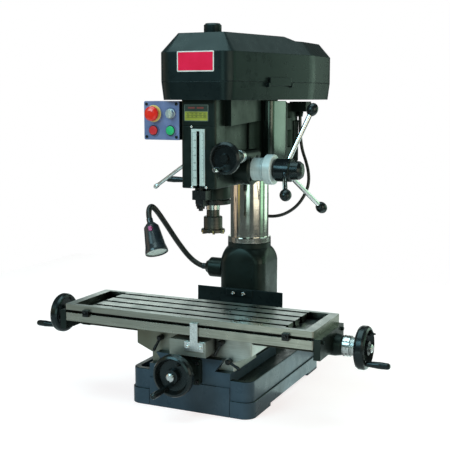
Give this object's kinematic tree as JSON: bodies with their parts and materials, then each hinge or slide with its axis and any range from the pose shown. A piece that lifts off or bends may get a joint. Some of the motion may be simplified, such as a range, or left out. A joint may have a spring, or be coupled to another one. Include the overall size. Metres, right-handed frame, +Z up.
{
  "type": "mill drill",
  "caption": "Bench mill drill: round column on a cast base, swivelling geared head with belt guard, cross-slide table with handwheels, downfeed capstan, control box and work lamp.",
  "frame": {"origin": "middle of the four holding-down holes, on the surface that the base stands on", "axes": "+Z up, +X to the operator's right, +Y from the operator to the back of the machine"},
  "size_m": [1.0676, 0.8458, 1.036],
  "materials": {
    "dark_paint": "semi-gloss charcoal machine enamel",
    "guard_paint": "semi-gloss charcoal enamel on sheet",
    "motor_paint": "satin charcoal enamel",
    "ground_iron": "ground and oiled",
    "bare_iron": "machined, oiled",
    "polished_steel": "turned and polished",
    "chrome": "bright",
    "bright_steel": "machined bright",
    "cutter_steel": "blackened",
    "black_screws": "black oxide",
    "black_plastic": "moulded, glossy",
    "dial_aluminium": "satin anodised",
    "pulley_aluminium": "turned",
    "belt_rubber": "matt",
    "cable_rubber": "matt",
    "bronze": "machined",
    "panel_paint": "satin blue-grey",
    "red_plastic": "moulded",
    "green_plastic": "moulded",
    "selector_silver": "satin",
    "scale_plate": "satin, engraved",
    "latch_steel": "satin",
    "lamp_black": "satin black",
    "lamp_lens": "frosted",
    "magenta_plastic": "moulded"
  },
  "bodies": {
    "base": {"base_casting": "dark_paint", "base_fasteners": "black_screws", "column_support": "dark_paint", "column": "polished_steel", "way_guard": "guard_paint", "y_bracket": "dark_paint", "lamp_mount": "dark_paint", "gooseneck": "lamp_black"},
    "lamp": {"lamp_head": "lamp_black", "lamp_lens": "lamp_lens"},
    "lamp_switch": {"lamp_switch": "magenta_plastic"},
    "y_screw": {"y_leadscrew": "bright_steel", "y_handwheel": "black_plastic"},
    "y_grip": {"y_grip": "black_plastic"},
    "saddle": {"saddle_casting": "bare_iron", "gibs": "bare_iron", "feed_nuts": "bronze", "stop_bracket": "bare_iron"},
    "x_lock_left": {"x_lock_left": "bright_steel"},
    "x_lock_right": {"x_lock_right": "bright_steel"},
    "y_lock": {"y_lock": "bright_steel"},
    "table": {"table_casting": "ground_iron", "end_brackets": "dark_paint", "trip_dogs": "bright_steel"},
    "x_screw": {"x_leadscrew": "bright_steel", "x_handwheels": "black_plastic"},
    "x_grip_left": {"x_grip_left": "black_plastic"},
    "x_grip_right": {"x_grip_right": "black_plastic"},
    "swivel": {"column_rack": "bright_steel"},
    "head": {"head_casting": "dark_paint", "head_fasteners": "black_screws", "motor_plate": "dark_paint", "motor": "motor_paint", "guard_pan": "guard_paint", "control_box": "guard_paint", "control_panel": "panel_paint", "depth_scale": "scale_plate", "belts": "belt_rubber", "motor_cable": "cable_rubber", "feed_gearbox": "dark_paint"},
    "lift_crank": {"lift_crank": "polished_steel"},
    "lift_grip": {"lift_grip": "black_plastic"},
    "guard_cover": {"guard_cover": "guard_paint"},
    "cover_latch": {"cover_latch": "latch_steel"},
    "capstan": {"capstan_shaft": "chrome", "feed_dial": "dial_aluminium", "capstan_knobs": "black_plastic"},
    "quill": {"quill": "polished_steel", "depth_stop": "polished_steel"},
    "spindle": {"spindle": "bright_steel", "face_mill": "cutter_steel"},
    "spindle_pulley": {"spindle_pulley": "pulley_aluminium"},
    "idler_pulley": {"idler_pulley": "pulley_aluminium"},
    "motor_pulley": {"motor_pulley": "pulley_aluminium"},
    "fine_feed": {"fine_feed": "bright_steel"},
    "quill_lock": {"quill_lock": "bright_steel"},
    "emergency_stop": {"emergency_stop": "red_plastic"},
    "stop_button": {"stop_button": "red_plastic"},
    "start_button": {"start_button": "green_plastic"},
    "selector": {"selector": "selector_silver"}
  },
  "joints": [
    {"name": "lamp_tilt", "type": "hinge", "parent": "base", "child": "lamp", "pos_m": [-0.239, -0.047, 0.4675], "axis": [0.6245, 0.7811, 0], "range_deg": [-15, 15]},
    {"name": "lamp_switch_rock", "type": "hinge", "parent": "lamp", "child": "lamp_switch", "pos_m": [-0.2253, -0.07321, 0.45784], "axis": [0.8902, 0.3644, 0.2734], "range_deg": [-8, 8]},
    {"name": "y_screw_turn", "type": "hinge", "parent": "base", "child": "y_screw", "pos_m": [0, -0.3, 0.123], "axis": [0, 1, 0], "range_deg": [-1800.1, 10440.1]},
    {"name": "saddle_slide", "type": "slide", "parent": "base", "child": "saddle", "axis": [0, 1, 0], "range_m": [-0.025, 0.145]},
    {"name": "y_grip_spin", "type": "hinge", "parent": "y_screw", "child": "y_grip", "pos_m": [-0.0215, -0.35, 0.08576], "axis": [0, 1, 0], "continuous": true},
    {"name": "x_lock_left_turn", "type": "hinge", "parent": "saddle", "child": "x_lock_left", "pos_m": [-0.093, -0.258, 0.19], "axis": [0, -1, 0], "range_deg": [-45, 0]},
    {"name": "x_lock_right_turn", "type": "hinge", "parent": "saddle", "child": "x_lock_right", "pos_m": [0.091, -0.258, 0.197], "axis": [0, -1, 0], "range_deg": [0, 60]},
    {"name": "y_lock_turn", "type": "hinge", "parent": "saddle", "child": "y_lock", "pos_m": [0.112, -0.258, 0.1474], "axis": [0, -1, 0], "range_deg": [-20, 20]},
    {"name": "table_slide", "type": "slide", "parent": "saddle", "child": "table", "axis": [1, 0, 0], "range_m": [-0.19, 0.19]},
    {"name": "x_screw_turn", "type": "hinge", "parent": "table", "child": "x_screw", "pos_m": [0, -0.186, 0.2084], "axis": [1, 0, 0], "range_deg": [-13680.1, 13680.1]},
    {"name": "x_grip_left_spin", "type": "hinge", "parent": "x_screw", "child": "x_grip_left", "pos_m": [-0.48, -0.21349, 0.17533], "axis": [1, 0, 0], "continuous": true},
    {"name": "x_grip_right_spin", "type": "hinge", "parent": "x_screw", "child": "x_grip_right", "pos_m": [0.48, -0.21349, 0.17533], "axis": [1, 0, 0], "continuous": true},
    {"name": "head_swivel", "type": "hinge", "parent": "base", "child": "swivel", "pos_m": [0, 0.137, 0.6], "axis": [0, 0, 1], "range_deg": [-25, 90]},
    {"name": "head_slide", "type": "slide", "parent": "swivel", "child": "head", "axis": [0, 0, 1], "range_m": [-0.05, 0.1]},
    {"name": "lift_turn", "type": "hinge", "parent": "head", "child": "lift_crank", "pos_m": [-0.14, 0.15, 0.672], "axis": [1, 0, 0], "range_deg": [-4500.1, 9000.1]},
    {"name": "lift_grip_spin", "type": "hinge", "parent": "lift_crank", "child": "lift_grip", "pos_m": [-0.2, 0.0882, 0.5896], "axis": [1, 0, 0], "continuous": true},
    {"name": "cover_swing", "type": "hinge", "parent": "head", "child": "guard_cover", "pos_m": [-0.207, 0.21, 0.88], "axis": [0, -1, 0], "range_deg": [0, 95]},
    {"name": "latch_swing", "type": "hinge", "parent": "head", "child": "cover_latch", "pos_m": [0.16226, -0.02911, 0.872], "axis": [0.2604, 0.9655, 0], "range_deg": [0, 60]},
    {"name": "capstan_turn", "type": "hinge", "parent": "head", "child": "capstan", "pos_m": [0.1, -0.063, 0.643], "axis": [1, 0, 0], "range_deg": [0, 496.56], "stiffness_Nm_per_rad": 0.12, "springref_deg": -1031.32},
    {"name": "quill_slide", "type": "slide", "parent": "head", "child": "quill", "axis": [0, 0, -1], "range_m": [0, 0.13]},
    {"name": "spindle_spin", "type": "hinge", "parent": "quill", "child": "spindle", "pos_m": [0, -0.118, 0.6], "axis": [0, 0, 1], "continuous": true},
    {"name": "pulley_spin", "type": "hinge", "parent": "head", "child": "spindle_pulley", "pos_m": [0, -0.118, 0.88], "axis": [0, 0, 1], "continuous": true},
    {"name": "idler_spin", "type": "hinge", "parent": "head", "child": "idler_pulley", "pos_m": [0, 0.1, 0.88], "axis": [0, 0, 1], "continuous": true},
    {"name": "motor_spin", "type": "hinge", "parent": "head", "child": "motor_pulley", "pos_m": [0, 0.32, 0.88], "axis": [0, 0, 1], "continuous": true},
    {"name": "fine_feed_turn", "type": "hinge", "parent": "head", "child": "fine_feed", "pos_m": [0.084, -0.19, 0.681], "axis": [0, 1, 0], "continuous": true},
    {"name": "quill_lock_turn", "type": "hinge", "parent": "head", "child": "quill_lock", "pos_m": [0.08, -0.113, 0.667], "axis": [1, 0, 0], "range_deg": [-30, 30]},
    {"name": "emergency_stop_push", "type": "slide", "parent": "head", "child": "emergency_stop", "axis": [0, 1, 0], "range_m": [0, 0.005], "stiffness_N_per_m": 900, "springref_m": -0.004},
    {"name": "stop_push", "type": "slide", "parent": "head", "child": "stop_button", "axis": [0, 1, 0], "range_m": [0, 0.003], "stiffness_N_per_m": 800, "springref_m": -0.003},
    {"name": "start_push", "type": "slide", "parent": "head", "child": "start_button", "axis": [0, 1, 0], "range_m": [0, 0.003], "stiffness_N_per_m": 800, "springref_m": -0.003},
    {"name": "selector_turn", "type": "hinge", "parent": "head", "child": "selector", "pos_m": [-0.0825, -0.206, 0.7955], "axis": [0, 1, 0], "range_deg": [-45, 45]}
  ],
  "couplings": [
    {"joint": "y_screw_turn", "follows": "saddle_slide", "rad_per_m": 1256.6},
    {"joint": "x_screw_turn", "follows": "table_slide", "rad_per_m": 1256.6},
    {"joint": "lift_turn", "follows": "head_slide", "rad_per_m": 1570.8},
    {"joint": "quill_slide", "follows": "capstan_turn", "m_per_rad": 0.015},
    {"joint": "spindle_spin", "follows": "pulley_spin", "ratio": 1},
    {"joint": "idler_spin", "follows": "pulley_spin", "ratio": 0.82353},
    {"joint": "motor_spin", "follows": "pulley_spin", "ratio": 0.6782}
  ]
}
